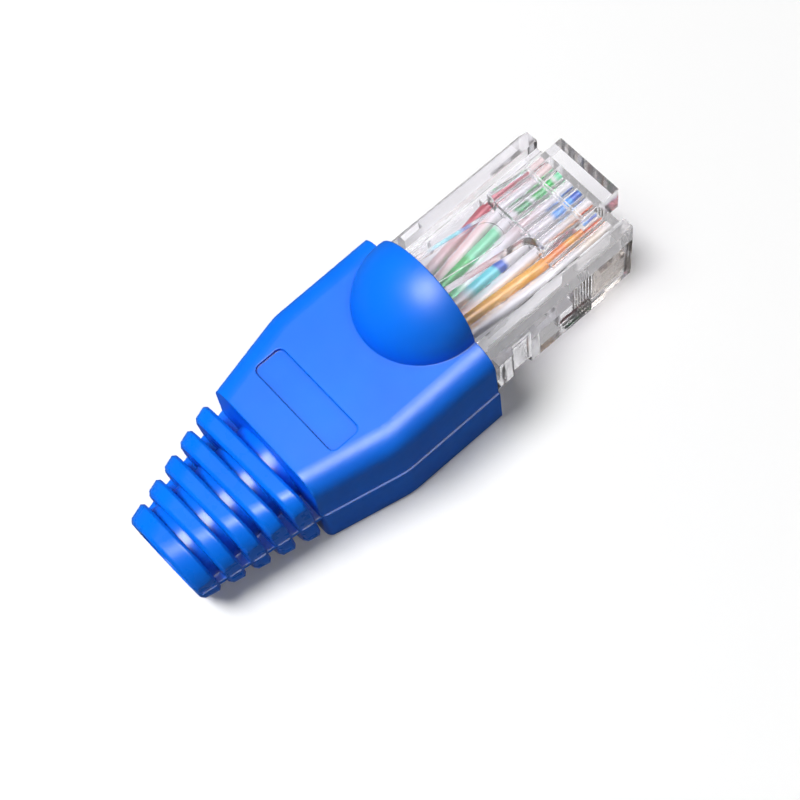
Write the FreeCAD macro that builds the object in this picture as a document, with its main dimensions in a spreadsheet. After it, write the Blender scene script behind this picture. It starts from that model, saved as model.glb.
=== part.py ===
"""Strain relief boot fitted on a clear eight-position modular plug.

Frame: +X towards the plug's nose, +Y to the left, +Z up.  The boot lies on its flat underside at
Z = 0 and the origin is below the middle of the overall length.  All sizes are in millimetres.
Sub-parts: the moulded boot, the moulded plug housing with its latch, eight contact blades and
eight insulated conductors.
"""
import FreeCAD, Part
import math
import os

import Sketcher

Vector = FreeCAD.Vector
PIN_COUNT = 8
RIB_COUNT = 4
CONDUCTOR_NAMES = ("white_orange", "orange", "white_green", "blue",
                   "white_blue", "green", "white_brown", "brown")

# Driving sizes, one cell each.
SIZES = {
    # frame
    "mouth_x": 4.857,           # front face of the boot, ahead of the origin
    # plug housing
    "plug_width": 11.68,
    "plug_height": 6.6,
    "plug_length": 20.5,
    "plug_reach": 14.35,       # how far the housing stands out of the boot
    "edge_run": 0.42,          # chamfer along the upper edges, across
    "edge_drop": 0.6,          # the same chamfer, downwards
    "base_edge": 0.4,          # chamfer along the lower edges
    "rail_width": 1.42,        # raised rails along both sides of the top
    "rail_height": 1.0,
    "bed_tail": 1.0,           # bed between the rails runs this far into the boot
    "notch_start": 2.4,
    "notch_length": 1.7,
    "notch_depth": 0.45,
    "notch_rise": 5.0,
    "cheek_length": 3.1,       # thinned lower cheeks beside the contacts
    "cheek_depth": 0.35,
    "cheek_rise": 1.5,
    "nose_corner": 0.5,        # cut off the upright corners of the nose
    # cavities of the plug housing
    "cable_room_width": 8.6,
    "cable_room_depth": 7.6,
    "cable_room_floor": 0.7,
    "wire_room_height": 2.5,
    "channel_length": 5.3,
    "channel_front_wall": 0.5,
    "wire_height": 4.75,       # axis of the wire channels above the housing's underside
    "window_width": 7.6,       # wire anchor window in the underside
    "window_length": 2.0,
    "window_start": 5.4,
    "jaw_window_width": 5.2,   # cable jaw window in the underside
    "jaw_window_length": 3.4,
    "jaw_window_back": 4.0,    # its rear edge ahead of the housing's rear face
    "jaw_lift": 0.6,           # jaw's tip above the floor of the cable room
    "jaw_gap": 0.25,
    # latch
    "latch_width": 5.8,
    "latch_front": 0.95,       # overhang of the latch root past the housing's nose
    "latch_root_length": 3.3,
    "latch_root_drop": 1.5,    # lower lip of the root below the rails' top
    "latch_root_rise": 1.0,    # root's top above the rails' top
    "latch_step": 0.3,
    "shoulder_x": 8.2,         # locking shoulders ahead of the boot
    "shoulder_rise": 1.85,     # their top above the rails' top
    "shoulder_thick": 1.5,
    "hinge_thick": 0.9,
    "lever_width": 3.1,
    "lever_thick": 1.05,
    "lever_rise": 4.45,        # lever's top above the rails' top at the boot's mouth
    "lever_tail": 1.2,         # lever's end behind the boot's mouth
    "lever_root_radius": 0.9,
    "panel_width": 2.1,        # plain raised panel on the lever
    "panel_tail": 1.0,         # panel's rear end behind the boot's mouth
    "panel_length": 7.8,
    "panel_rise": 0.12,
    # contacts
    "pin_spacing": 1.016,
    "blade_thick": 0.35,
    "blade_length": 3.2,
    "blade_setback": 0.6,      # from the housing's nose
    "blade_recess": 0.35,      # blade's lower edge above the housing's underside
    "blade_height": 2.9,
    "blade_corner": 0.6,
    "tine_width": 0.8,
    "tine_tip": 0.2,
    "tine_pitch": 1.9,
    "tine_depth": 0.1,         # how far a tine passes the wire's axis
    "slot_gap": 0.02,
    # conductors
    "wire_diameter": 0.86,
    "wire_gap": 0.03,
    "wire_spread": 0.7,        # share of the pitch that is left where the wires are gathered
    "wire_weave": 0.38,        # every second wire lies this far above, the others below
    "wire_drop": 0.9,          # gathered wires below the channels
    "wire_straight": 0.4,      # straight run behind the channels
    "wire_gather": 1.2,        # gathered from here on, ahead of the boot
    "wire_bend_radius": 2.5,
    "wire_end": 4.4,           # wires end this far behind the boot's mouth
    # boot block
    "fit_gap": 0.1,
    "side_wall": 1.14,
    "floor_wall": 0.95,
    "top_wall": 1.43,
    "boot_length": 15.05,
    "boot_straight": 8.5,
    "boot_rear_half": 5.55,
    "parting_height": 4.1,
    "parting_step": 0.16,
    "boot_draft": 1.5,         # degrees
    "top_fall": 0.44,          # top's fall from the mouth to the rear
    "bend_radius": 6.0,
    "shoulder_round": 1.8,
    "corner_round": 0.6,       # upright rear corners
    "base_round": 0.2,
    "label_start": 9.72,
    "label_length": 2.5,
    "label_half": 4.2,
    "label_depth": 0.22,
    "label_corner": 0.5,
    # hood over the latch
    "hood_radius": 4.9,
    "hood_wall": 0.7,
    "hood_setback": 0.5,       # centre of the ball behind the mouth
    "hood_sink": 0.3,          # and below the top face
    # tail
    "tail_length": 9.77,
    "tail_yaw": 2.2,           # degrees, the soft tail leans to one side
    "tail_droop": 2.2,         # degrees, and hangs a little
    "tail_start_half": 5.58,   # at the block's rear face
    "tail_start_rise": 4.0,    # half of its height
    "tail_start_corner": 1.5,
    "tail_end_half": 3.62,
    "tail_end_rise": 3.63,
    "tail_end_corner": 3.5,
    "tail_root": 0.5,          # length buried in the block
    "tail_step": 0.12,         # upper half narrower at the parting plane
    "rib_first": 0.65,         # first rib behind the block
    "rib_pitch": 1.9,
    "rib_width": 1.28,
    "rib_bevel": 0.22,
    "tube_radius": 3.2,
    "web_thick": 0.4,
    "web_drop": 0.08,          # web's top below the parting plane
    "web_inset": 0.15,         # web's edge inside the ribs' skin
    "bore_radius": 2.75,
    "way_radius": 3.0,
}

# Derived places and sizes, each an expression over the driving sizes.
LAYOUT = {
    "plug_base": "Sizes.floor_wall + Sizes.fit_gap",
    "plug_half": "Sizes.plug_width / 2",
    "plug_top": "Layout.plug_base + Sizes.plug_height",
    "plug_rear": "Sizes.plug_reach - Sizes.plug_length",
    "edge_half": "Layout.plug_half - Sizes.edge_run",
    "edge_low": "Layout.plug_top - Sizes.edge_drop",
    "base_half": "Layout.plug_half - Sizes.base_edge",
    "base_high": "Layout.plug_base + Sizes.base_edge",
    "rail_half": "Layout.plug_half - Sizes.rail_width",
    "bed": "Layout.plug_top - Sizes.rail_height",
    "notch_end": "Sizes.notch_start + Sizes.notch_length",
    "notch_half": "Layout.plug_half - Sizes.notch_depth",
    "cheek_half": "Layout.plug_half - Sizes.cheek_depth",
    "outside_half": "Layout.plug_half + 1",
    "cheek_start": "Sizes.plug_reach - Sizes.cheek_length",
    "past_nose": "Sizes.plug_reach + 1",
    "behind_nose": "Sizes.plug_reach - Sizes.nose_corner - 1",
    "inside_corner": "Layout.plug_half - Sizes.nose_corner - 1",
    "wire_axis": "Layout.plug_base + Sizes.wire_height",
    "channel_radius": "Sizes.wire_diameter / 2 + Sizes.wire_gap",
    "channel_front": "Sizes.plug_reach - Sizes.channel_front_wall",
    "channel_rear": "Layout.channel_front - Sizes.channel_length",
    "channel_cut": "Sizes.channel_length + Sizes.wire_gap",
    "room_half": "Sizes.cable_room_width / 2",
    "room_floor": "Layout.plug_base + Sizes.cable_room_floor",
    "wire_room_roof": "Layout.wire_axis + Layout.channel_radius",
    "wire_room_floor": "Layout.wire_room_roof - Sizes.wire_room_height",
    "wire_room_depth": "Layout.channel_rear - Layout.plug_rear",
    "first_pin": "%.1f * Sizes.pin_spacing" % (-(PIN_COUNT - 1) / 2),
    "window_half": "Sizes.window_width / 2",
    "window_end": "Sizes.window_start + Sizes.window_length",
    "window_depth": "Layout.wire_room_floor - Layout.plug_base",
    "jaw_rear": "Layout.plug_rear + Sizes.jaw_window_back",
    "jaw_front": "Layout.jaw_rear + Sizes.jaw_window_length",
    "jaw_half": "Sizes.jaw_window_width / 2",
    "jaw_tip": "Layout.jaw_rear + Sizes.jaw_gap",
    "jaw_width": "Sizes.jaw_window_width - 2 * Sizes.jaw_gap",
    "jaw_low": "Layout.plug_base + Sizes.jaw_gap",
    "jaw_high": "Layout.room_floor + Sizes.jaw_lift",
    "jaw_root": "Layout.jaw_front + Sizes.jaw_gap",
    "jaw_window_depth": "Sizes.cable_room_floor + Sizes.jaw_gap",
    "root_front": "Sizes.plug_reach + Sizes.latch_front",
    "root_rear": "Layout.root_front - Sizes.latch_root_length",
    "root_low": "Layout.plug_top - Sizes.latch_root_drop",
    "root_top": "Layout.plug_top + Sizes.latch_root_rise",
    "step_top": "Layout.root_top - Sizes.latch_step",
    "step_low": "Layout.step_top - Sizes.hinge_thick",
    "shoulder_top": "Layout.plug_top + Sizes.shoulder_rise",
    "shoulder_low": "Layout.shoulder_top - Sizes.shoulder_thick",
    "lever_top": "Layout.plug_top + Sizes.lever_rise",
    "lever_slope": "(Layout.lever_top - Layout.shoulder_top) / Sizes.shoulder_x",
    "lever_end": "-Sizes.lever_tail",
    "lever_end_top": "Layout.lever_top + Layout.lever_slope * Sizes.lever_tail",
    "lever_end_low": "Layout.lever_end_top - Sizes.lever_thick",
    "lever_root_low": "Layout.shoulder_top - Sizes.lever_thick",
    "lever_half": "Sizes.lever_width / 2",
    "beside_latch": "Sizes.latch_width / 2 + 1",
    "lever_clear": "Layout.plug_top + 0.1",
    "lever_cut": "Sizes.lever_rise + 3",
    "behind_lever": "-Sizes.lever_tail - 1",
    "panel_run": "Sizes.panel_length / 2",
    "panel_x": "Layout.panel_run - Sizes.panel_tail",
    "panel_half": "Sizes.panel_width / 2",
    "panel_corner": "Layout.panel_half * 0.95",
    "panel_seat": "Layout.lever_top - Layout.lever_slope * Layout.panel_x - Sizes.lever_thick / 2",
    "panel_pad": "Sizes.lever_thick / 2 / sqrt(1 + Layout.lever_slope ^ 2) + Sizes.panel_rise",
    "blade_front": "Sizes.plug_reach - Sizes.blade_setback",
    "blade_rear": "Layout.blade_front - Sizes.blade_length",
    "blade_low": "Layout.plug_base + Sizes.blade_recess",
    "blade_high": "Layout.blade_low + Sizes.blade_height",
    "blade_corner_x": "Layout.blade_front - Sizes.blade_corner",
    "blade_corner_z": "Layout.blade_low + Sizes.blade_corner",
    "tine_top": "Layout.wire_axis + Sizes.tine_depth",
    "tine_back": "Layout.blade_rear + Sizes.tine_width",
    "tine_tip_rear": "Layout.blade_rear + (Sizes.tine_width - Sizes.tine_tip) / 2",
    "tine_tip_front": "Layout.tine_tip_rear + Sizes.tine_tip",
    "slot_rear": "Layout.blade_rear - Sizes.slot_gap",
    "slot_front": "Layout.blade_front + Sizes.slot_gap",
    "slot_half": "Sizes.blade_thick / 2 + Sizes.slot_gap",
    "slot_depth": "Layout.tine_top - Layout.plug_base",
    "first_slot_low": "Layout.first_pin - Layout.slot_half",
    "first_slot_high": "Layout.first_pin + Layout.slot_half",
    "pin_row": "%d * Sizes.pin_spacing" % (PIN_COUNT - 1),
    "wire_front": "Layout.channel_front - Sizes.wire_gap",
    "wire_bend": "Layout.channel_rear - Sizes.wire_straight",
    "wire_low": "Layout.wire_axis - Sizes.wire_drop",
    "cavity_half": "Layout.plug_half + Sizes.fit_gap",
    "cavity_floor": "Sizes.floor_wall",
    "cavity_roof": "Layout.plug_top + Sizes.fit_gap",
    "cavity_depth": "Sizes.fit_gap - Layout.plug_rear",
    "boot_half": "Layout.cavity_half + Sizes.side_wall",
    "upper_half": "Layout.boot_half - Sizes.parting_step",
    "upper_rear_half": "Sizes.boot_rear_half - Sizes.parting_step",
    "boot_top": "Layout.cavity_roof + Sizes.top_wall",
    "upper_height": "Layout.boot_top - Sizes.parting_height",
    "boot_rear_top": "Layout.boot_top - Sizes.top_fall",
    "above_boot": "Layout.boot_top + 2",
    "top_cut": "Sizes.plug_width + 8",
    "mouth_cut_half": "Layout.boot_half + 1",
    "mouth_cut_top": "Layout.boot_top + Sizes.hood_radius + 1",
    "boot_bend": "-Sizes.boot_straight",
    "boot_rear": "-Sizes.boot_length",
    "behind_boot": "-Sizes.boot_length - 2",
    "label_x": "-Sizes.label_start - Sizes.label_length / 2",
    "label_run": "Sizes.label_length / 2",
    "label_floor": "Layout.boot_top - Sizes.label_depth"
                   " + Sizes.top_fall * Layout.label_x / Sizes.boot_length",
    "hood_x": "-Sizes.hood_setback",
    "hood_z": "Layout.boot_top - Sizes.hood_sink",
    "hood_inner": "Sizes.hood_radius - Sizes.hood_wall",
    "hood_front": "Sizes.hood_radius + 1",
    "tail_x": "Sizes.mouth_x - Sizes.boot_length",
    "rib_reach": "Sizes.tail_start_half + 1",
    "core_rear": "Sizes.tail_length - Sizes.rib_width / 2",
    "core_end": "-Layout.core_rear",
    "core_span": "Layout.core_rear + Sizes.tail_root",
    "tail_taper": "(Sizes.tail_start_half - Sizes.tail_end_half) / Sizes.tail_length",
    "web_front_half": "Sizes.tail_start_half + Layout.tail_taper * Sizes.tail_root - Sizes.web_inset",
    "web_rear_half": "Sizes.tail_start_half - Layout.tail_taper * Layout.core_rear - Sizes.web_inset",
    "bore_end": "-Sizes.tail_length - 1",
    "bore_span": "Sizes.tail_length + Sizes.tail_root + 1",
    "way_length": "Sizes.boot_length - Layout.cavity_depth",
}


def rib_places():
    """Where each rib starts and ends, and the size of the tail's skin there; the last is the collar."""
    places = {}
    for rib in range(RIB_COUNT + 1):
        places["rib_front_%d" % rib] = "Sizes.rib_first + %d * Sizes.rib_pitch" % rib
        places["rib_rear_%d" % rib] = ("Sizes.tail_length" if rib == RIB_COUNT
                                       else "Layout.rib_front_%d + Sizes.rib_width" % rib)
        for side in ("front", "rear"):
            share = "Layout.rib_%s_%d / Sizes.tail_length" % (side, rib)
            for size in ("half", "rise", "corner"):
                places["%s_%s_%d" % (size, side, rib)] = (
                    "Sizes.tail_start_{0} + (Sizes.tail_end_{0} - Sizes.tail_start_{0}) * {1}"
                    .format(size, share))
            places["trim_%s_%d" % (side, rib)] = "Layout.half_%s_%d - Sizes.tail_step" % (side, rib)
    return places


def number(name):
    """Value of a size given as 'Sheet.alias' with an optional minus sign; None stands for zero."""
    if name is None:
        return 0.0
    sign = -1.0 if name.startswith("-") else 1.0
    owner, alias = name.lstrip("-").split(".")
    return sign * float(getattr(doc.getObject(owner), alias))


def make_sheet():
    """Spreadsheet with the driving sizes."""
    sheet = doc.addObject("Spreadsheet::Sheet", "Sizes")
    for row, (alias, size) in enumerate(SIZES.items(), start=1):
        sheet.set("A%d" % row, alias.replace("_", " "))
        sheet.set("B%d" % row, str(size))
        sheet.setAlias("B%d" % row, alias)
    doc.recompute()


def make_layout():
    """Variable set with the derived places, each bound to the driving sizes."""
    layout = doc.addObject("App::VarSet", "Layout")
    places = dict(LAYOUT, **rib_places())
    for name in places:
        layout.addProperty("App::PropertyFloat", name, "Places")
    for name, formula in places.items():
        layout.setExpression(name, formula)
    doc.recompute()


def bind(target, **formulas):
    """Bind properties; a double underscore in a keyword stands for a dot."""
    for name, formula in formulas.items():
        target.setExpression(name.replace("__", "."), formula)


def new_body(name):
    """Body whose X axis starts at the boot's mouth."""
    body = doc.addObject("PartDesign::Body", name)
    body.Label = name
    bind(body, Placement__Base__x="Sizes.mouth_x")
    return body


def origin_item(body, role):
    """Origin plane or axis of a body, such as XY_Plane or X_Axis."""
    return [item for item in body.Origin.OriginFeatures if item.Role == role][0]


def attach(feature, body, plane):
    feature.AttachmentSupport = (origin_item(body, plane + "_Plane"), [""])
    feature.MapMode = "FlatFace"


def new_sketch(body, name, plane, offset=None):
    """Empty sketch on one of the body's own origin planes, lifted by an optional named offset."""
    sketch = body.newObject("Sketcher::SketchObject", name)
    attach(sketch, body, plane)
    if offset:
        bind(sketch, AttachmentOffset__Base__z=offset)
    return sketch


def pin_point(sketch, element, end, across, up):
    """Hold one end of a sketch element at named distances from the sketch origin."""
    for kind, name, axis in (("DistanceX", across, -2), ("DistanceY", up, -1)):
        if name is None:
            sketch.addConstraint(Sketcher.Constraint("PointOnObject", element, end, axis))
        else:
            index = sketch.addConstraint(
                Sketcher.Constraint(kind, -1, 1, element, end, number(name)))
            sketch.setExpression("Constraints[%d]" % index, name)


def polygon(sketch, corners):
    """Closed outline through named corners."""
    first = sketch.GeometryCount
    count = len(corners)
    points = [Vector(number(across), number(up), 0) for across, up in corners]
    for step in range(count):
        sketch.addGeometry(Part.LineSegment(points[step], points[(step + 1) % count]), False)
    for step in range(count):
        follower = first + (step + 1) % count
        sketch.addConstraint(Sketcher.Constraint("Coincident", first + step, 2, follower, 1))
    for step, (across, up) in enumerate(corners):
        pin_point(sketch, first + step, 1, across, up)


def rectangle(sketch, left, right, low, high):
    polygon(sketch, ((left, low), (right, low), (right, high), (left, high)))


def rounded_rectangle(sketch, half_width, half_height, corner):
    """Rectangle about the sketch origin with four equal round corners."""
    half_x, half_y, radius = number(half_width), number(half_height), number(corner)
    in_x, in_y = half_x - radius, half_y - radius
    centres = ((in_x, in_y), (-in_x, in_y), (-in_x, -in_y), (in_x, -in_y))
    for quarter, (x, y) in enumerate(centres):
        circle = Part.Circle(Vector(x, y, 0), Vector(0, 0, 1), radius)
        start = quarter * math.pi / 2
        sketch.addGeometry(Part.ArcOfCircle(circle, start, start + math.pi / 2), False)
    arc_ends = ((0, 2, 1, 1), (1, 2, 2, 1), (2, 2, 3, 1), (3, 2, 0, 1))
    for from_arc, from_end, to_arc, to_end in arc_ends:
        line = sketch.addGeometry(Part.LineSegment(
            sketch.getPoint(from_arc, from_end), sketch.getPoint(to_arc, to_end)), False)
        sketch.addConstraint(Sketcher.Constraint("Tangent", from_arc, from_end, line, 1))
        sketch.addConstraint(Sketcher.Constraint("Tangent", line, 2, to_arc, to_end))
    for line, kind in ((4, "Horizontal"), (5, "Vertical"), (6, "Horizontal"), (7, "Vertical")):
        sketch.addConstraint(Sketcher.Constraint(kind, line))
    for arc in (1, 2, 3):
        sketch.addConstraint(Sketcher.Constraint("Equal", 0, arc))
    radius_index = sketch.addConstraint(Sketcher.Constraint("Radius", 0, radius))
    sketch.setExpression("Constraints[%d]" % radius_index, corner)
    for line, kind, name in ((7, "DistanceX", half_width), (4, "DistanceY", half_height)):
        for sign, element in (("", line), ("-", line - 2 if line == 7 else line + 2)):
            index = sketch.addConstraint(
                Sketcher.Constraint(kind, -1, 1, element, 1, number(sign + name)))
            sketch.setExpression("Constraints[%d]" % index, sign + name)


def circle_at(sketch, across, up, radius):
    index = sketch.addGeometry(Part.Circle(
        Vector(number(across), number(up), 0), Vector(0, 0, 1), number(radius)), False)
    pin_point(sketch, index, 3, across, up)
    size = sketch.addConstraint(Sketcher.Constraint("Radius", index, number(radius)))
    sketch.setExpression("Constraints[%d]" % size, radius)


def extrude(body, kind, sketch, length, midplane=False, reversed_way=False, taper=None):
    """Pad or Pocket of a sketch; a Pocket must take material away."""
    before = body.Shape.Volume if kind == "Pocket" else 0.0
    feature = body.newObject("PartDesign::" + kind, sketch.Name + "_" + kind.lower())
    feature.Profile = sketch
    bind(feature, Length=length)
    feature.Midplane = midplane
    feature.Reversed = reversed_way
    if taper:
        bind(feature, TaperAngle=taper)
    body.Tip = feature
    doc.recompute()
    if kind == "Pocket" and not body.Shape.Volume < before - 1e-6:
        raise RuntimeError(feature.Name + " cuts nothing")
    return feature


def repeat_along(body, feature, axis, length, count, reversed_way=False):
    """Linear pattern of one feature along one of the body's axes."""
    pattern = body.newObject("PartDesign::LinearPattern", feature.Name + "_row")
    pattern.Originals = [feature]
    pattern.Direction = (origin_item(body, axis + "_Axis"), [""])
    pattern.Reversed = reversed_way
    bind(pattern, Length=length)
    pattern.Occurrences = count
    body.Tip = pattern
    doc.recompute()


def soften_edges(body, kind, name, wanted, **size):
    """Fillet or Chamfer every edge of the body that passes the test."""
    base = body.Tip
    edges = ["Edge%d" % (index + 1) for index, edge in enumerate(base.Shape.Edges) if wanted(edge)]
    if not edges:
        raise RuntimeError(name + " finds no edge")
    feature = body.newObject("PartDesign::" + kind, name)
    feature.Base = (base, edges)
    bind(feature, **size)
    body.Tip = feature
    doc.recompute()
    if not feature.Shape.Solids:
        raise RuntimeError(name + " leaves no solid")


def round_edges(body, name, radius, wanted):
    soften_edges(body, "Fillet", name, wanted, Radius=radius)


def ends(edge):
    return edge.Vertexes[0].Point, edge.Vertexes[-1].Point


def is_near(first, second):
    return abs(first - second) < 1e-4


def is_upright(edge):
    start, end = ends(edge)
    return abs(start.z - end.z) > 0.9 * start.distanceToPoint(end)


def make_boot_block():
    """Drafted two-half block with the hood, the plain label recess and the plug's cavity."""
    body = new_body("boot_block")
    straight, length = number("Layout.boot_bend"), number("Layout.boot_rear")
    parting, fall = number("Sizes.parting_height"), number("Sizes.top_fall") / length

    def at_bend(edge):
        return is_upright(edge) and abs(edge.CenterOfMass.x - straight) < 0.3

    def at_rear_corner(edge):
        return is_upright(edge) and abs(edge.CenterOfMass.x - length) < 0.3

    def at_upper_bend(edge):
        return at_bend(edge) and edge.CenterOfMass.z > parting

    def on_top(edge):
        start, end = ends(edge)
        tops = [abs(point.z - number("Layout.boot_top") + fall * point.x) < 1e-3 for point in (start, end)]
        return all(tops) and abs(start.x - end.x) > 0.2

    def at_base(edge):
        start, end = ends(edge)
        return is_near(start.z, 0) and is_near(end.z, 0) and edge.CenterOfMass.x < -0.1

    lower = new_sketch(body, "lower_plan", "XY")
    polygon(lower, ((None, "-Layout.boot_half"), (None, "Layout.boot_half"),
                    ("Layout.boot_bend", "Layout.boot_half"),
                    ("Layout.boot_rear", "Sizes.boot_rear_half"),
                    ("Layout.boot_rear", "-Sizes.boot_rear_half"),
                    ("Layout.boot_bend", "-Layout.boot_half")))
    extrude(body, "Pad", lower, "Sizes.parting_height")
    round_edges(body, "lower_bends", "Sizes.bend_radius", at_bend)
    round_edges(body, "lower_corners", "Sizes.corner_round", at_rear_corner)
    round_edges(body, "base_rounds", "Sizes.base_round", at_base)
    upper = new_sketch(body, "upper_plan", "XY", "Sizes.parting_height")
    polygon(upper, (("Sizes.hood_wall", "-Layout.upper_half"), ("Sizes.hood_wall", "Layout.upper_half"),
                    ("Layout.boot_bend", "Layout.upper_half"),
                    ("Layout.boot_rear", "Layout.upper_rear_half"),
                    ("Layout.boot_rear", "-Layout.upper_rear_half"),
                    ("Layout.boot_bend", "-Layout.upper_half")))
    extrude(body, "Pad", upper, "Layout.upper_height", taper="-Sizes.boot_draft")
    round_edges(body, "upper_bends", "Sizes.bend_radius", at_upper_bend)

    slope = new_sketch(body, "top_slope", "XZ")
    polygon(slope, ((None, "Layout.boot_top"), (None, "Layout.above_boot"),
                    ("Layout.behind_boot", "Layout.above_boot"),
                    ("Layout.behind_boot", "Layout.boot_rear_top"),
                    ("Layout.boot_rear", "Layout.boot_rear_top")))
    extrude(body, "Pocket", slope, "Layout.top_cut", midplane=True)

    round_edges(body, "top_rounds", "Sizes.shoulder_round", on_top)
    add_hood(body)

    mouth = new_sketch(body, "mouth_face", "YZ")
    rectangle(mouth, "-Layout.mouth_cut_half", "Layout.mouth_cut_half",
              "-Sizes.floor_wall", "Layout.mouth_cut_top")
    extrude(body, "Pocket", mouth, "Layout.hood_front", reversed_way=True)
    label = new_sketch(body, "label_recess", "XY", "Layout.label_floor")
    bind(label, AttachmentOffset__Base__x="Layout.label_x")
    rounded_rectangle(label, "Layout.label_run", "Sizes.label_half", "Sizes.label_corner")
    extrude(body, "Pocket", label, "Sizes.top_wall", reversed_way=True)
    cavity = new_sketch(body, "plug_cavity", "YZ")
    rectangle(cavity, "-Layout.cavity_half", "Layout.cavity_half",
              "Layout.cavity_floor", "Layout.cavity_roof")
    extrude(body, "Pocket", cavity, "Layout.cavity_depth")
    hollow_hood(body)
    bore_way(body)
    return body


def ball(body, kind, name, radius):
    """Ball about the hood's centre."""
    sphere = body.newObject("PartDesign::" + kind, name)
    attach(sphere, body, "XY")
    bind(sphere, Radius=radius, AttachmentOffset__Base__x="Layout.hood_x",
         AttachmentOffset__Base__z="Layout.hood_z")
    body.Tip = sphere
    doc.recompute()


def add_hood(body):
    ball(body, "AdditiveSphere", "hood", "Sizes.hood_radius")


def hollow_hood(body):
    ball(body, "SubtractiveSphere", "hood_hollow", "Layout.hood_inner")


def bore_way(body):
    """Round way from the plug's cavity to the tail's bore, a little wider than the bore."""
    way = body.newObject("PartDesign::SubtractiveCylinder", "cable_way")
    attach(way, body, "YZ")
    bind(way, Radius="Sizes.way_radius", Height="Layout.way_length",
         AttachmentOffset__Base__y="Sizes.parting_height",
         AttachmentOffset__Base__z="Layout.boot_rear")
    body.Tip = way
    doc.recompute()


def tail_body(name):
    """Body whose X axis is the tail's own axis, starting at the block's rear face."""
    body = doc.addObject("PartDesign::Body", name)
    bind(body, Placement__Base__x="Layout.tail_x", Placement__Base__z="Sizes.parting_height",
         Placement__Rotation__Yaw="Sizes.tail_yaw", Placement__Rotation__Pitch="-Sizes.tail_droop")
    return body


def add_round_bar(body, name, radius, end, span):
    bar = body.newObject("PartDesign::AdditiveCylinder", name)
    attach(bar, body, "YZ")
    bind(bar, Radius=radius, Height=span, AttachmentOffset__Base__z=end)
    body.Tip = bar
    doc.recompute()


def make_tail_core():
    """Tube of the tail with the web that ties the ribs just below the parting plane."""
    body = tail_body("tail_core")
    add_round_bar(body, "tube", "Sizes.tube_radius", "Layout.core_end", "Layout.core_span")
    web = new_sketch(body, "web", "XY", "-Sizes.web_drop")
    polygon(web, (("Sizes.tail_root", "Layout.web_front_half"),
                  ("Layout.core_end", "Layout.web_rear_half"),
                  ("Layout.core_end", "-Layout.web_rear_half"),
                  ("Sizes.tail_root", "-Layout.web_front_half")))
    extrude(body, "Pad", web, "Sizes.web_thick", reversed_way=True)
    return body


def is_crosswise(edge):
    start, end = ends(edge)
    middle = edge.valueAt((edge.FirstParameter + edge.LastParameter) / 2)
    return is_near(start.x, end.x) and is_near(start.x, middle.x)


def make_rib(rib):
    """Slice of the tapering tail with bevelled rims; its upper half is a step narrower."""
    body = tail_body("rib_%d" % rib)
    sections = []
    for side in ("front", "rear"):
        section = new_sketch(body, "rib_%s_%d" % (side, rib), "YZ", "-Layout.rib_%s_%d" % (side, rib))
        rounded_rectangle(section, *("Layout.%s_%s_%d" % (size, side, rib)
                                     for size in ("half", "rise", "corner")))
        sections.append(section)
    slice_of_tail = body.newObject("PartDesign::AdditiveLoft", "rib_skin_%d" % rib)
    slice_of_tail.Profile = sections[0]
    slice_of_tail.Sections = [sections[1]]
    slice_of_tail.Ruled = True
    body.Tip = slice_of_tail
    doc.recompute()
    soften_edges(body, "Chamfer", "rib_rims_%d" % rib, is_crosswise, Size="Sizes.rib_bevel")
    trim = new_sketch(body, "rib_trim_%d" % rib, "XY")
    for sign in ("", "-"):
        polygon(trim, (("-Layout.rib_front_%d" % rib, "%sLayout.trim_front_%d" % (sign, rib)),
                       ("-Layout.rib_front_%d" % rib, sign + "Layout.rib_reach"),
                       ("-Layout.rib_rear_%d" % rib, sign + "Layout.rib_reach"),
                       ("-Layout.rib_rear_%d" % rib, "%sLayout.trim_rear_%d" % (sign, rib))))
    extrude(body, "Pocket", trim, "Layout.rib_reach", reversed_way=True)
    return body


def make_boot():
    """The boot is one soft moulding: block, tail and ribs in one, bored for the cable."""
    whole = doc.addObject("Part::MultiFuse", "boot_whole")
    whole.Shapes = [make_boot_block(), make_tail_core()] + [make_rib(rib) for rib in range(RIB_COUNT + 1)]
    bore = tail_body("tail_bore")
    add_round_bar(bore, "bore", "Sizes.bore_radius", "Layout.bore_end", "Layout.bore_span")
    boot = doc.addObject("Part::Cut", "boot")
    boot.Label = "boot"
    boot.Base = whole
    boot.Tool = bore
    boot.Refine = True
    doc.recompute()
    return boot


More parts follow.
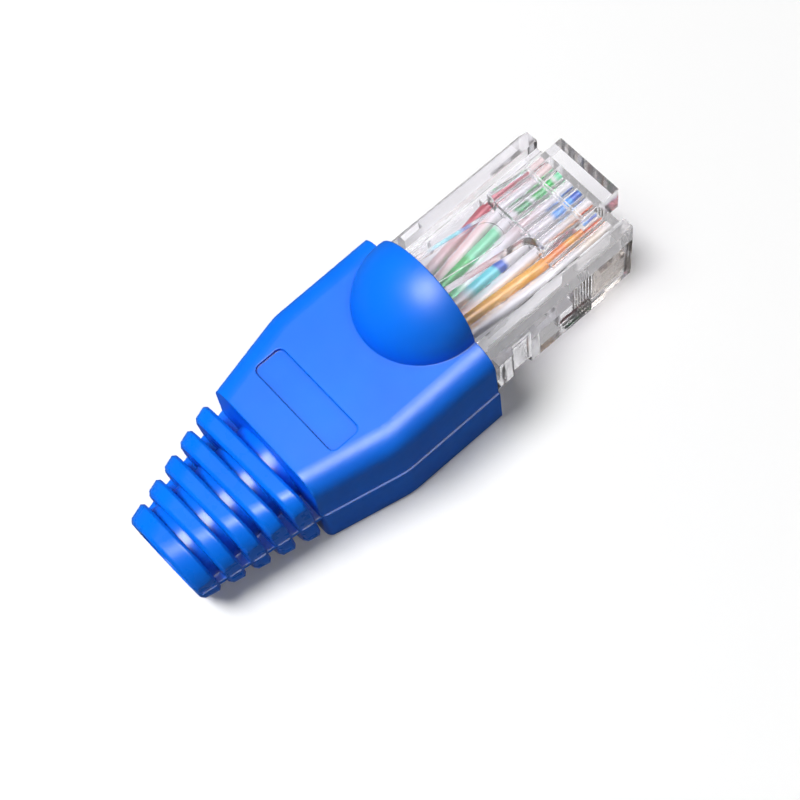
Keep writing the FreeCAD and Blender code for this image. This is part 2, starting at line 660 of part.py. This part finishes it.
def make_plug_housing():
    """Clear moulding: body, rails, latch with its lever, cable room, wire channels and slots."""
    body = new_body("plug_housing")
    outline = new_sketch(body, "outline", "YZ", "Layout.plug_rear")
    polygon(outline, (("Layout.base_half", "Layout.plug_base"), ("Layout.plug_half", "Layout.base_high"),
                      ("Layout.plug_half", "Layout.edge_low"), ("Layout.edge_half", "Layout.plug_top"),
                      ("-Layout.edge_half", "Layout.plug_top"), ("-Layout.plug_half", "Layout.edge_low"),
                      ("-Layout.plug_half", "Layout.base_high"), ("-Layout.base_half", "Layout.plug_base")))
    extrude(body, "Pad", outline, "Sizes.plug_length")
    bed = new_sketch(body, "latch_bed", "XY", "Layout.bed")
    rectangle(bed, "-Sizes.bed_tail", "Layout.past_nose", "-Layout.rail_half", "Layout.rail_half")
    extrude(body, "Pocket", bed, "Layout.lever_cut", reversed_way=True)
    for name, inner, outer in (("left", "Layout.{}_half", "Layout.outside_half"),
                               ("right", "-Layout.outside_half", "-Layout.{}_half")):
        notch = new_sketch(body, name + "_notch", "XY", "Layout.plug_base")
        rectangle(notch, "Sizes.notch_start", "Layout.notch_end",
                  inner.format("notch"), outer.format("notch"))
        extrude(body, "Pocket", notch, "Sizes.notch_rise", reversed_way=True)
        cheek = new_sketch(body, name + "_cheek", "XY", "Layout.plug_base")
        rectangle(cheek, "Layout.cheek_start", "Layout.past_nose",
                  inner.format("cheek"), outer.format("cheek"))
        extrude(body, "Pocket", cheek, "Sizes.cheek_rise", reversed_way=True)
        corner = new_sketch(body, name + "_nose_corner", "XY", "Layout.plug_base")
        sign = "" if name == "left" else "-"
        polygon(corner, (("Layout.behind_nose", sign + "Layout.outside_half"),
                         ("Layout.past_nose", sign + "Layout.inside_corner"),
                         ("Layout.past_nose", sign + "Layout.outside_half")))
        extrude(body, "Pocket", corner, "Sizes.plug_height", reversed_way=True)
    add_latch(body)
    hollow_plug(body)
    return body


def add_latch(body):
    """Latch rooted at the nose: wide part with locking shoulders, then the narrow rising lever."""
    profile = new_sketch(body, "latch_profile", "XZ")
    polygon(profile, (("Layout.root_front", "Layout.root_low"), ("Layout.root_front", "Layout.root_top"),
                      ("Layout.root_rear", "Layout.root_top"), ("Layout.root_rear", "Layout.step_top"),
                      ("Sizes.shoulder_x", "Layout.shoulder_top"),
                      ("Layout.lever_end", "Layout.lever_end_top"),
                      ("Layout.lever_end", "Layout.lever_end_low"),
                      ("Sizes.shoulder_x", "Layout.lever_root_low"),
                      ("Sizes.shoulder_x", "Layout.shoulder_low"),
                      ("Layout.root_rear", "Layout.step_low"), ("Layout.root_rear", "Layout.root_low")))
    extrude(body, "Pad", profile, "Sizes.latch_width", midplane=True)
    beside = new_sketch(body, "beside_lever", "XY", "Layout.lever_clear")
    rectangle(beside, "Layout.behind_lever", "Sizes.shoulder_x", "Layout.lever_half", "Layout.beside_latch")
    rectangle(beside, "Layout.behind_lever", "Sizes.shoulder_x", "-Layout.beside_latch", "-Layout.lever_half")
    extrude(body, "Pocket", beside, "Layout.lever_cut", reversed_way=True)
    shoulder, half = number("Sizes.shoulder_x"), number("Layout.lever_half")

    def at_lever_root(edge):
        centre = edge.CenterOfMass
        return is_upright(edge) and is_near(centre.x, shoulder) and is_near(abs(centre.y), half)

    round_edges(body, "lever_root_rounds", "Sizes.lever_root_radius", at_lever_root)
    panel = new_sketch(body, "lever_panel", "XY", "Layout.panel_seat")
    bind(panel, AttachmentOffset__Base__x="Layout.panel_x",
         AttachmentOffset__Rotation__Pitch="atan(Layout.lever_slope)")
    rounded_rectangle(panel, "Layout.panel_run", "Layout.panel_half", "Layout.panel_corner")
    extrude(body, "Pad", panel, "Layout.panel_pad")


def hollow_plug(body):
    """Room for the cable and its wires from the rear, channels, blade slots and crimp windows."""
    room = new_sketch(body, "cable_room", "YZ", "Layout.plug_rear")
    rectangle(room, "-Layout.room_half", "Layout.room_half", "Layout.room_floor", "Layout.wire_room_roof")
    extrude(body, "Pocket", room, "Sizes.cable_room_depth", reversed_way=True)
    fan = new_sketch(body, "wire_room", "YZ", "Layout.plug_rear")
    rectangle(fan, "-Layout.room_half", "Layout.room_half", "Layout.wire_room_floor", "Layout.wire_room_roof")
    extrude(body, "Pocket", fan, "Layout.wire_room_depth", reversed_way=True)

    channel = new_sketch(body, "wire_channel", "YZ", "Layout.channel_front")
    circle_at(channel, "Layout.first_pin", "Layout.wire_axis", "Layout.channel_radius")
    cut = extrude(body, "Pocket", channel, "Layout.channel_cut")
    repeat_along(body, cut, "Y", "Layout.pin_row", PIN_COUNT)
    slot = new_sketch(body, "blade_slot", "XY", "Layout.plug_base")
    rectangle(slot, "Layout.slot_rear", "Layout.slot_front", "Layout.first_slot_low", "Layout.first_slot_high")
    cut = extrude(body, "Pocket", slot, "Layout.slot_depth", reversed_way=True)
    repeat_along(body, cut, "Y", "Layout.pin_row", PIN_COUNT)

    anchor = new_sketch(body, "anchor_window", "XY", "Layout.plug_base")
    rectangle(anchor, "Sizes.window_start", "Layout.window_end", "-Layout.window_half", "Layout.window_half")
    extrude(body, "Pocket", anchor, "Layout.window_depth", reversed_way=True)
    window = new_sketch(body, "jaw_window", "XY", "Layout.plug_base")
    rectangle(window, "Layout.jaw_rear", "Layout.jaw_front", "-Layout.jaw_half", "Layout.jaw_half")
    extrude(body, "Pocket", window, "Layout.jaw_window_depth", reversed_way=True)
    jaw = new_sketch(body, "cable_jaw", "XZ")
    polygon(jaw, (("Layout.jaw_root", "Layout.jaw_low"), ("Layout.jaw_root", "Layout.room_floor"),
                  ("Layout.jaw_front", "Layout.room_floor"), ("Layout.jaw_tip", "Layout.jaw_high"),
                  ("Layout.jaw_tip", "Layout.jaw_low")))
    extrude(body, "Pad", jaw, "Layout.jaw_width", midplane=True)


def make_contact(pin):
    """Gold-plated blade with two tines that pierce the wire above it."""
    body = doc.addObject("PartDesign::Body", "contact_%d" % (pin + 1))
    body.Label = body.Name
    bind(body, Placement__Base__x="Sizes.mouth_x",
         Placement__Base__y="Layout.first_pin + %d * Sizes.pin_spacing" % pin)
    blade = new_sketch(body, "blade_%d" % (pin + 1), "XZ")
    polygon(blade, (("Layout.blade_rear", "Layout.blade_low"), ("Layout.blade_corner_x", "Layout.blade_low"),
                    ("Layout.blade_front", "Layout.blade_corner_z"),
                    ("Layout.blade_front", "Layout.blade_high"), ("Layout.blade_rear", "Layout.blade_high")))
    extrude(body, "Pad", blade, "Sizes.blade_thick", midplane=True)
    tine = new_sketch(body, "tine_%d" % (pin + 1), "XZ")
    polygon(tine, (("Layout.blade_rear", "Layout.blade_high"), ("Layout.tine_back", "Layout.blade_high"),
                   ("Layout.tine_tip_front", "Layout.tine_top"), ("Layout.tine_tip_rear", "Layout.tine_top")))
    pad = extrude(body, "Pad", tine, "Sizes.blade_thick", midplane=True)
    repeat_along(body, pad, "X", "Sizes.tine_pitch", 2)
    return body


def bent_route(points, radius):
    """Run through the points, with an arc of the given radius at each bend."""
    edges = []
    start = points[0]
    for before, corner, after in zip(points, points[1:], points[2:]):
        back, onward = (before - corner).normalize(), (after - corner).normalize()
        half_turn = (math.pi - back.getAngle(onward)) / 2
        reach = radius * math.tan(half_turn)
        middle = (back + onward).normalize() * (radius / math.cos(half_turn) - radius)
        edges.append(Part.makeLine(start, corner + back * reach))
        edges.append(Part.Arc(corner + back * reach, corner + middle, corner + onward * reach).toShape())
        start = corner + onward * reach
    edges.append(Part.makeLine(start, points[-1]))
    return Part.Wire(edges)


def conductor_shape(pin):
    """Insulated wire: straight in its channel, then gathered above or below its neighbour."""
    offset = number("Layout.first_pin") + pin * number("Sizes.pin_spacing")
    weave = number("Sizes.wire_weave") * (1 if pin % 2 else -1)
    gathered_y, gathered_z = offset * number("Sizes.wire_spread"), number("Layout.wire_low") + weave
    axis, radius = number("Layout.wire_axis"), number("Sizes.wire_diameter") / 2
    front = Vector(number("Layout.wire_front"), offset, axis)
    bend = Vector(number("Layout.wire_bend"), offset, axis)
    gather = Vector(number("Sizes.wire_gather"), gathered_y, gathered_z)
    rear = Vector(-number("Sizes.wire_end"), gathered_y, gathered_z)
    route = bent_route((front, bend, gather, rear), number("Sizes.wire_bend_radius"))
    end_face = Part.Face(Part.Wire([Part.makeCircle(radius, front, Vector(-1, 0, 0))]))
    wire = route.makePipe(end_face)
    slit_low = axis - 2 * radius
    slit = Part.makeBox(number("Layout.slot_front") - number("Layout.slot_rear"),
                        2 * number("Layout.slot_half"),
                        number("Layout.tine_top") + number("Sizes.slot_gap") - slit_low,
                        Vector(number("Layout.slot_rear"), offset - number("Layout.slot_half"), slit_low))
    return wire.cut(slit)


def make_conductor(pin):
    conductor = doc.addObject("Part::Feature", "wire_" + CONDUCTOR_NAMES[pin])
    conductor.Label = conductor.Name
    conductor.Shape = conductor_shape(pin)
    conductor.Placement = FreeCAD.Placement(Vector(number("Sizes.mouth_x"), 0, 0), FreeCAD.Rotation())
    return conductor


def check_document():
    """Stop if any object failed or any shape is empty or invalid."""
    for item in doc.Objects:
        if "Invalid" in item.State or "Error" in item.State:
            raise RuntimeError("%s failed: %s" % (item.Name, item.State))


def export(parts):
    for part in parts:
        shape = part.Shape
        if shape.isNull() or not shape.isValid() or not shape.Solids:
            raise RuntimeError(part.Label + " has no valid solid")
        shape.exportStep("parts/%s.step" % part.Label)
        print(part.Label, "solids", len(shape.Solids), "volume %.2f mm3" % shape.Volume)


os.makedirs("parts", exist_ok=True)
doc = FreeCAD.newDocument("boot_on_plug")
make_sheet()
make_layout()
parts = [make_boot(), make_plug_housing()]
parts += [make_contact(pin) for pin in range(PIN_COUNT)]
parts += [make_conductor(pin) for pin in range(PIN_COUNT)]
doc.recompute()
check_document()
export(parts)
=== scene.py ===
"""Looks of the strain relief boot on its clear plug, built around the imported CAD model.

Every CAD node gets a procedural material, and nothing is added to the object. Noise, colour
bands, the camera's lens and its sensor count in millimetres. All other lengths are in metres.
"""

import bpy
from mathutils import Matrix, Vector

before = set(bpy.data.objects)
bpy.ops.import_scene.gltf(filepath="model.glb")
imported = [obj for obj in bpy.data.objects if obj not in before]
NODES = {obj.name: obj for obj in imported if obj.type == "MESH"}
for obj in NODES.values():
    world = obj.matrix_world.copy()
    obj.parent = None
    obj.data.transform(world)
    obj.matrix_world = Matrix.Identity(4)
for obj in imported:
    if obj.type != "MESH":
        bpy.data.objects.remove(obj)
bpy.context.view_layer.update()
MM = 0.001
CLEAR_WHITE = (1.0, 1.0, 1.0, 1.0)


# ---------------------------------------------------------------- node helpers
class Shader:
    """Small builder for the nodes of one material or world."""

    def __init__(self, owner, output="ShaderNodeOutputMaterial"):
        self.owner = owner
        owner.use_nodes = True
        self.tree = owner.node_tree
        self.tree.nodes.clear()
        self.output = self.add(output)

    def add(self, kind, **inputs):
        """A new node. Each keyword is one of its inputs, with _ for the spaces in its name."""
        node = self.tree.nodes.new(kind)
        for name, value in inputs.items():
            self.put(node.inputs[name.replace("_", " ")], value)
        return node

    def put(self, socket, value):
        """Link a socket to the input, or give the input a plain value."""
        if isinstance(value, bpy.types.NodeSocket):
            self.tree.links.new(value, socket)
        else:
            socket.default_value = value

    def math(self, operation, first, second=0.0, clamp=False):
        node = self.tree.nodes.new("ShaderNodeMath")
        node.operation = operation
        node.use_clamp = clamp
        self.put(node.inputs[0], first)
        self.put(node.inputs[1], second)
        return node.outputs[0]

    def scaled(self, vector, factor):
        """A vector or colour times a factor."""
        node = self.tree.nodes.new("ShaderNodeVectorMath")
        node.operation = "SCALE"
        self.put(node.inputs[0], vector)
        self.put(node.inputs["Scale"], factor)
        return node.outputs[0]

    def length(self, vector):
        node = self.tree.nodes.new("ShaderNodeVectorMath")
        node.operation = "LENGTH"
        self.put(node.inputs[0], vector)
        return node.outputs["Value"]

    def place(self):
        """Position in the row frame, in millimetres."""
        coordinates = self.add("ShaderNodeTexCoord")
        return self.scaled(coordinates.outputs["Object"], 1.0 / MM)

    def along_x(self, place):
        return self.add("ShaderNodeSeparateXYZ", Vector=place).outputs["X"]

    def noise(self, place, scale, detail=2.0):
        """Soft noise from 0 to 1, with about as many blots to a millimetre as the scale."""
        node = self.add("ShaderNodeTexNoise", Vector=place, Scale=scale, Detail=detail)
        return node.outputs["Fac"]

    def spread(self, value, low, high):
        """Map 0..1 to low..high."""
        node = self.add("ShaderNodeMapRange", Value=value, To_Min=low, To_Max=high)
        return node.outputs["Result"]

    def ramp(self, value, stops):
        """Colours that pass into each other at the stops, given as (position, colour)."""
        node = self.add("ShaderNodeValToRGB", Fac=value)
        elements = node.color_ramp.elements
        while len(elements) < len(stops):
            elements.new(0.5)
        for element, (position, colour) in zip(elements, stops):
            element.position = position
            element.color = (*colour, 1.0)
        return node.outputs["Color"]

    def mottle(self, value, first, second):
        """Two close colours that drift into each other with a noise."""
        return self.ramp(value, ((0.3, first), (0.7, second)))

    def bump(self, height, strength, depth, **normal):
        """Normal of a fine relief. A keyword Normal lays it over another normal."""
        node = self.add("ShaderNodeBump", Height=height, Strength=strength, Distance=depth, **normal)
        return node.outputs["Normal"]

    def soft_edges(self, radius):
        """Normal that turns round sharp edges over the radius."""
        node = self.add("ShaderNodeBevel", Radius=radius)
        node.samples = 6
        return node.outputs["Normal"]

    def openness(self, reach):
        """1 on open surface, and less in hollows and creases that are narrower than the reach."""
        node = self.add("ShaderNodeAmbientOcclusion", Distance=reach)
        node.samples = 8
        return node.outputs["AO"]

    def joined(self, kind, first, second, **inputs):
        """Two shaders in an add or mix node."""
        node = self.add(kind, **inputs)
        slots = [socket for socket in node.inputs if socket.type == "SHADER"]
        self.put(slots[0], first.outputs[0])
        self.put(slots[1], second.outputs[0])
        return node

    def finish(self, surface):
        """Link the last shader to the output, and give back the material or world."""
        self.put(self.output.inputs["Surface"], surface.outputs[0])
        return self.owner


def new_material(name):
    return Shader(bpy.data.materials.new(name))


# ---------------------------------------------------------------- materials
# The ribbed tail is glossy up to TAIL_GLOSS_ENDS millimetres behind the origin. Ahead of
# that its roughness rises by SATIN_STEP in all, and by the share SATIN_RISE of it each
# millimetre, so that the block is satin.
TAIL_GLOSS_ENDS = 10.9
SATIN_RISE = 0.7
SATIN_STEP = 0.14


def boot_pvc():
    """Soft PVC with painted shade that darkens its colour in grooves, creases and recesses: a satin block
    and a glossier ribbed tail.
    """
    s = new_material("boot_pvc")
    place = s.place()
    blue = s.mottle(s.noise(place, scale=0.16), (0.0005, 0.17, 0.93), (0.001, 0.2, 1.0))
    # Painted shade: the base colour is darkened where nearby surfaces close in, in the grooves, creases and
    # recesses.
    painted_fold_shade = s.spread(s.openness(0.7 * MM), 0.6, 1.0)
    block = s.math("MULTIPLY", s.math("ADD", s.along_x(place), TAIL_GLOSS_ENDS), SATIN_RISE, clamp=True)
    satin = s.math("MULTIPLY", block, SATIN_STEP)
    roughness = s.math("ADD", s.spread(s.noise(place, scale=1.3), 0.24, 0.32), satin)
    grain = s.bump(s.noise(place, scale=9.0, detail=3.0), strength=0.12, depth=0.02 * MM,
                   Normal=s.soft_edges(0.15 * MM))
    surface = s.add("ShaderNodeBsdfPrincipled", Base_Color=s.scaled(blue, painted_fold_shade),
                    Roughness=roughness, Normal=grain, IOR=1.52, Specular_IOR_Level=0.15)
    return s.finish(surface)


def clear_plastic():
    """Clear polycarbonate with a little haze; light passes it dimmed on its way to what lies below."""
    s = new_material("clear_housing")
    place = s.place()
    tint = s.mottle(s.noise(place, scale=0.25), (0.965, 0.955, 0.99), (0.98, 0.975, 1.0))
    haze = s.spread(s.noise(place, scale=0.8), 0.02, 0.07)
    waves = s.bump(s.noise(place, scale=0.7), strength=0.12, depth=0.06 * MM)
    surface = s.add("ShaderNodeBsdfPrincipled", Base_Color=tint, Roughness=haze, Normal=waves,
                    IOR=1.5, Specular_IOR_Level=0.14, Transmission_Weight=0.96)
    rays = s.add("ShaderNodeLightPath")
    passing = s.math("MAXIMUM", rays.outputs["Is Shadow Ray"], rays.outputs["Is Diffuse Ray"])
    dimmed = s.add("ShaderNodeBsdfTransparent", Color=(0.92, 0.915, 0.93, 1.0))
    return s.finish(s.joined("ShaderNodeMixShader", surface, dimmed, Fac=passing))


def contact_gold():
    """Pale gold plating with a slightly uneven polish."""
    s = new_material("contact_gold")
    place = s.place()
    plating = s.mottle(s.noise(place, scale=1.5), (0.72, 0.66, 0.56), (0.8, 0.74, 0.64))
    polish = s.spread(s.noise(place, scale=1.0, detail=1.0), 0.2, 0.34)
    dents = s.bump(s.noise(place, scale=0.8, detail=1.0), strength=0.1, depth=0.01 * MM)
    surface = s.add("ShaderNodeBsdfPrincipled", Base_Color=plating, Roughness=polish,
                    Normal=dents, Metallic=0.7)
    return s.finish(surface)


# A conductor's colour ramp covers RAMP_REACH millimetres of X from the origin, and the edges
# of its bands wander over BAND_WANDER millimetres.
RAMP_REACH = 21.0
BAND_WANDER = 0.4


def insulation(name, bands):
    """Extruded insulation with bands of colour along X, given as (millimetres, colour): the conductor's own
    colour, with painted reflections and painted shade on it.
    """
    s = new_material("insulation_" + name)
    place = s.place()
    lively = s.noise(place, scale=0.9)
    wander = s.math("MULTIPLY", s.math("SUBTRACT", lively, 0.5), BAND_WANDER)
    share = s.math("DIVIDE", s.math("ADD", s.along_x(place), wander), RAMP_REACH)
    # The ramp lays the bands along the conductor: its own colour, painted reflections and painted shade.
    colour = s.ramp(share, [(x / RAMP_REACH, paint) for x, paint in bands])
    grain = s.bump(s.noise(place, scale=6.0), strength=0.1, depth=0.02 * MM)
    surface = s.add("ShaderNodeBsdfPrincipled", Base_Color=colour,
                    Roughness=s.spread(lively, 0.4, 0.5), Normal=grain, Specular_IOR_Level=0.2)
    return s.finish(surface)


# Colours of the conductors, also used below as painted reflections and painted shade on them.
WHITE, PINK, CREAM = (0.97, 0.96, 0.95), (0.95, 0.74, 0.72), (1.0, 0.84, 0.66)
AMBER, ORANGE, SHADED_ORANGE = (1.0, 0.47, 0.02), (0.98, 0.22, 0.005), (0.75, 0.07, 0.01)
LEAF, MINT, PINE = (0.0, 0.47, 0.07), (0.18, 0.82, 0.42), (0.0, 0.25, 0.06)
SKY, AZURE, NAVY = (0.13, 0.8, 0.88), (0.05, 0.36, 0.95), (0.0, 0.08, 0.5)
MAUVE, WINE = (0.55, 0.15, 0.18), (0.42, 0.03, 0.06)

# Each conductor's colours from the boot's mouth towards the nose. A conductor has one colour all along, so
# the changes along it are painted light: white and pale bands on a coloured conductor are painted
# reflections, and its darker bands and the tints on the white conductors are painted shade.
PAINTED_LIGHT_AND_COLOUR_BANDS = {
    "white_orange": ((8.0, WHITE), (15.0, WHITE), (17.0, CREAM), (19.0, WHITE)),
    "orange": ((8.0, AMBER), (12.5, AMBER), (14.3, ORANGE), (15.0, ORANGE), (15.9, AMBER),
               (17.5, SHADED_ORANGE), (19.0, ORANGE)),
    "white_green": ((7.0, PINK), (8.5, WHITE), (15.0, WHITE), (17.0, CREAM), (18.0, WHITE)),
    "blue": ((7.5, WHITE), (8.5, SKY), (10.5, SKY), (10.8, NAVY), (11.3, NAVY), (11.6, WHITE),
             (15.6, WHITE), (16.0, AZURE), (17.8, AZURE), (18.0, NAVY), (18.6, NAVY), (18.9, SKY)),
    "white_blue": ((7.5, MINT), (8.5, WHITE), (12.0, WHITE), (14.0, PINK), (16.0, WHITE)),
    "green": ((9.3, LEAF), (9.8, MINT), (12.2, MINT), (12.7, WHITE), (13.9, WHITE), (14.2, PINE),
              (15.3, PINE), (15.6, WHITE), (16.0, LEAF), (17.8, LEAF), (18.1, WHITE), (18.5, MINT)),
    "white_brown": ((7.0, PINK), (12.0, PINK), (13.0, WHITE), (16.0, WHITE), (18.0, PINK)),
    "brown": ((7.0, PINK), (11.0, MAUVE), (13.0, WINE), (15.5, WINE), (16.4, MAUVE), (18.2, WINE)),
}


def dress(node, material):
    """Make the material the only one of a CAD node."""
    mesh = NODES[node].data
    mesh.materials.clear()
    mesh.materials.append(material)


def dress_all():
    wires = {name: insulation(name, bands) for name, bands in PAINTED_LIGHT_AND_COLOUR_BANDS.items()}
    dress("boot", boot_pvc())
    dress("plug_housing", clear_plastic())
    plating = contact_gold()
    for name in NODES:
        kind, _, rest = name.partition("_")
        if kind == "contact":
            dress(name, plating)
        if kind == "wire":
            dress(name, wires[rest])


# ---------------------------------------------------------------- stage
# The camera's place and its two directions are in the row frame.
CAMERA_PLACE = Vector((-25.153, -45.83, 116.63)) * MM
CAMERA_AIM = Vector((0.20006, 0.35122, -0.91467))
CAMERA_UP = Vector((0.63382, 0.66550, 0.39418))
CAMERA_LENS = 79.31
SENSOR_WIDTH = 36.0

KEY_HEIGHT = 0.46
LAMP_UP = Vector((0.1, 1.0, 0.3))
FLOOR_HALF = 1.2
FLOOR_DROP = 0.02 * MM
WORLD_FILL = 0.1


def floor_paper():
    """Pale floor with the part's shadow: white to look at, and grey in the light it throws back.

    For the camera's rays and those through clear parts, its colour is lifted and it glows a
    little. It glows more where the key lamp's light falls off, to stay white to its far edge.
    """
    s = new_material("floor")
    rays = s.add("ShaderNodeLightPath")

    def lifted(straight, through):
        """One value for the camera's rays, another for those through clear parts, 0 for the rest."""
        return s.math("ADD", s.math("MULTIPLY", rays.outputs["Is Camera Ray"], straight),
                      s.math("MULTIPLY", rays.outputs["Is Transmission Ray"], through))

    place = s.place()
    bounce = s.spread(s.noise(place, scale=0.02), 0.34, 0.36)
    paper = s.add("ShaderNodeBsdfDiffuse", Color=s.math("ADD", bounce, lifted(straight=0.55, through=0.25)))
    distance = s.math("DIVIDE", s.length(place), KEY_HEIGHT / MM)
    falloff = s.math("POWER", s.math("ADD", s.math("POWER", distance, 2.0), 1.0), -2.0)
    unlit = s.math("SUBTRACT", 1.0, falloff)
    near = lifted(straight=0.09, through=0.38)
    far = s.math("MULTIPLY", lifted(straight=0.85, through=0.55), unlit)
    glow = s.add("ShaderNodeEmission", Color=CLEAR_WHITE, Strength=s.math("ADD", near, far))
    return s.finish(s.joined("ShaderNodeAddShader", paper, glow))


def make_floor():
    """Square floor, a hair below the part and hidden from its reflections."""
    mesh = bpy.data.meshes.new("floor")
    corners = [(x * FLOOR_HALF, y * FLOOR_HALF, -FLOOR_DROP)
               for x, y in ((-1, -1), (1, -1), (1, 1), (-1, 1))]
    mesh.from_pydata(corners, [], [(0, 1, 2, 3)])
    mesh.materials.append(floor_paper())
    floor = bpy.data.objects.new("floor", mesh)
    floor.visible_glossy = False
    bpy.context.scene.collection.objects.link(floor)


def make_world():
    """White for the camera and through clear parts, a dim even fill for the rest."""
    s = Shader(bpy.data.worlds.new("studio"), "ShaderNodeOutputWorld")
    rays = s.add("ShaderNodeLightPath")
    seen = s.math("MAXIMUM", rays.outputs["Is Camera Ray"], rays.outputs["Is Transmission Ray"])
    fill = s.add("ShaderNodeBackground", Color=CLEAR_WHITE, Strength=WORLD_FILL)
    white = s.add("ShaderNodeBackground", Color=CLEAR_WHITE, Strength=1.0)
    bpy.context.scene.world = s.finish(s.joined("ShaderNodeMixShader", fill, white, Fac=seen))


def aim(direction, up):
    """Rotation matrix of an object whose -Z looks along the direction with its +Y near up."""
    back = -direction.normalized()
    right = up.cross(back).normalized()
    top = back.cross(right)
    return Matrix((right, top, back)).transposed().to_4x4()


def area_light(name, place, size, power, shades=True, shines=True):
    """Round lamp that looks at the origin and isn't seen through clear parts."""
    light = bpy.data.lights.new(name, "AREA")
    light.shape = "DISK"
    light.size = size
    light.energy = power
    lamp = bpy.data.objects.new(name, light)
    lamp.matrix_world = Matrix.Translation(place) @ aim(-place, LAMP_UP)
    lamp.visible_diffuse = shades
    lamp.visible_glossy = shines
    lamp.visible_transmission = False
    bpy.context.scene.collection.objects.link(lamp)


def make_lamps():
    """A key lamp for shade and shadow, and a gloss lamp for highlights only."""
    area_light("key", Vector((-0.18, 0.11, KEY_HEIGHT)), size=0.22, power=2.75, shines=False)
    area_light("gloss", Vector((0.03, -0.11, 0.49)), size=0.34, power=15.0, shades=False)


def make_camera():
    """The photograph's camera, as fitted to the plug's and the block's edges."""
    data = bpy.data.cameras.new("camera")
    data.lens = CAMERA_LENS
    data.sensor_width = SENSOR_WIDTH
    data.clip_start = 0.005
    data.clip_end = 20.0
    camera = bpy.data.objects.new("camera", data)
    camera.matrix_world = Matrix.Translation(CAMERA_PLACE) @ aim(CAMERA_AIM, CAMERA_UP)
    bpy.context.scene.collection.objects.link(camera)
    bpy.context.scene.camera = camera


dress_all()
make_floor()
make_world()
make_lamps()
make_camera()
bpy.context.scene.view_settings.view_transform = "Standard"
